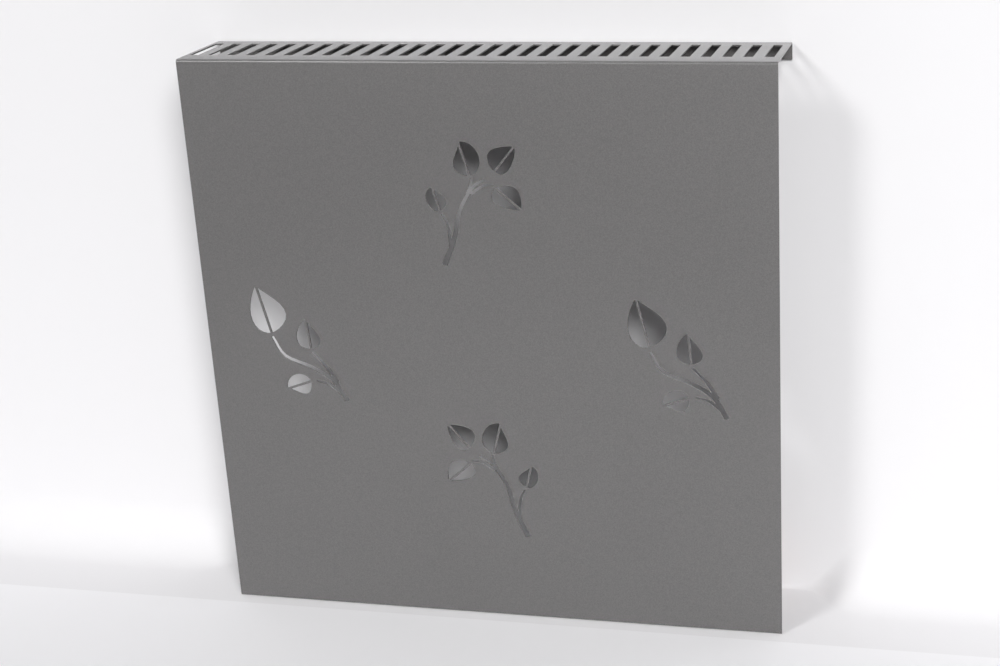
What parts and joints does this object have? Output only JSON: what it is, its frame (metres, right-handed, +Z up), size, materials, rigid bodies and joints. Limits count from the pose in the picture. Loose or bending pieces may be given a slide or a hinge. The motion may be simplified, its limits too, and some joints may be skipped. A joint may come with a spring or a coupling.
{
  "type": "convector heater",
  "caption": "Wall-hung hot-water convector heater: folded slotted sheet-metal cover with leaf cut-outs, lifting off a finned copper element and its valves.",
  "frame": {"origin": "on the wall plane, in the middle of the back face of the top rail that the heater hangs from", "axes": "+X to the right seen from the room, +Y into the wall, +Z up"},
  "size_m": [0.6, 0.104, 0.593],
  "materials": {
    "grey_paint": "fine-textured satin powder coat",
    "zinc_plate": "zinc-plated steel",
    "grey_plastic": "moulded nylon",
    "black_rubber": "moulded rubber",
    "magnet": "ground ferrite in a steel pot",
    "fin_aluminium": "bare rolled sheet",
    "copper": "drawn copper tube",
    "brass": "turned brass",
    "nickel_plate": "nickel-plated brass",
    "white_plastic": "moulded white plastic"
  },
  "bodies": {
    "wall_frame": {"arm_screw_1": "zinc_plate", "arm_screw_2": "zinc_plate", "bleed_valve_body": "nickel_plate", "bottom_rail": "grey_paint", "fin_pack": "fin_aluminium", "frame_rivet_1": "zinc_plate", "frame_rivet_2": "zinc_plate", "frame_rivet_3": "zinc_plate", "frame_rivet_4": "zinc_plate", "head_base": "white_plastic", "head_collar_nut": "nickel_plate", "hook_screw_1": "zinc_plate", "hook_screw_2": "zinc_plate", "hook_screw_3": "zinc_plate", "hook_screw_4": "zinc_plate", "left_catch_magnet": "magnet", "left_core_arm": "zinc_plate", "left_core_saddle": "grey_plastic", "left_cover_hook": "grey_paint", "left_end_plate": "zinc_plate", "left_front_buffer": "black_rubber", "left_upright": "grey_paint", "lockshield_body": "nickel_plate", "lockshield_gland": "brass", "return_bend": "copper", "return_compression_nut": "nickel_plate", "return_olive": "brass", "return_tube": "copper", "return_union_gasket": "black_rubber", "return_union_nut": "nickel_plate", "return_union_tail": "brass", "right_catch_magnet": "magnet", "right_core_arm": "zinc_plate", "right_core_saddle": "grey_plastic", "right_cover_hook": "grey_paint", "right_end_plate": "zinc_plate", "right_front_buffer": "black_rubber", "right_upright": "grey_paint", "saddle_screw_1": "zinc_plate", "saddle_screw_2": "zinc_plate", "supply_compression_nut": "nickel_plate", "supply_olive": "brass", "supply_tube": "copper", "supply_union_gasket": "black_rubber", "supply_union_nut": "nickel_plate", "supply_union_tail": "brass", "thermostatic_valve_body": "nickel_plate", "top_rail": "grey_paint", "valve_insert": "brass"},
    "cover": {"front_cover": "grey_paint"},
    "handwheel": {"handwheel": "white_plastic"},
    "valve_stem": {"valve_pin": "zinc_plate", "valve_disc": "black_rubber", "wax_sensor": "copper"},
    "lockshield_spindle": {"lockshield_spindle": "zinc_plate"},
    "lockshield_plug": {"lockshield_plug": "black_rubber"},
    "lockshield_cap": {"lockshield_cap": "white_plastic"},
    "bleed_screw": {"bleed_screw": "brass"}
  },
  "joints": [
    {"name": "cover_lift", "type": "slide", "parent": "wall_frame", "child": "cover", "axis": [0, 0, 1], "range_m": [0, 0.04]},
    {"name": "handwheel_turn", "type": "hinge", "parent": "wall_frame", "child": "handwheel", "pos_m": [-0.198, -0.071, -0.427], "axis": [1, 0, 0], "range_deg": [0, 300]},
    {"name": "valve_stem_slide", "type": "slide", "parent": "wall_frame", "child": "valve_stem", "axis": [1, 0, 0], "range_m": [0, 0.0025]},
    {"name": "lockshield_turn", "type": "hinge", "parent": "wall_frame", "child": "lockshield_spindle", "pos_m": [-0.16, -0.033, -0.427], "axis": [0, 0, -1], "range_deg": [0, 1080]},
    {"name": "lockshield_plug_slide", "type": "slide", "parent": "wall_frame", "child": "lockshield_plug", "axis": [0, 0, -1], "range_m": [0, 0.003]},
    {"name": "lockshield_cap_pull", "type": "slide", "parent": "wall_frame", "child": "lockshield_cap", "axis": [0, 0, 1], "range_m": [0, 0.03]},
    {"name": "bleed_screw_turn", "type": "hinge", "parent": "wall_frame", "child": "bleed_screw", "pos_m": [-0.198, -0.071, -0.4135], "axis": [0, 0, 1], "range_deg": [0, 360]}
  ],
  "couplings": [
    {"joint": "handwheel_turn", "follows": "valve_stem_slide", "rad_per_m": 2094},
    {"joint": "lockshield_turn", "follows": "lockshield_plug_slide", "rad_per_m": 6283}
  ]
}
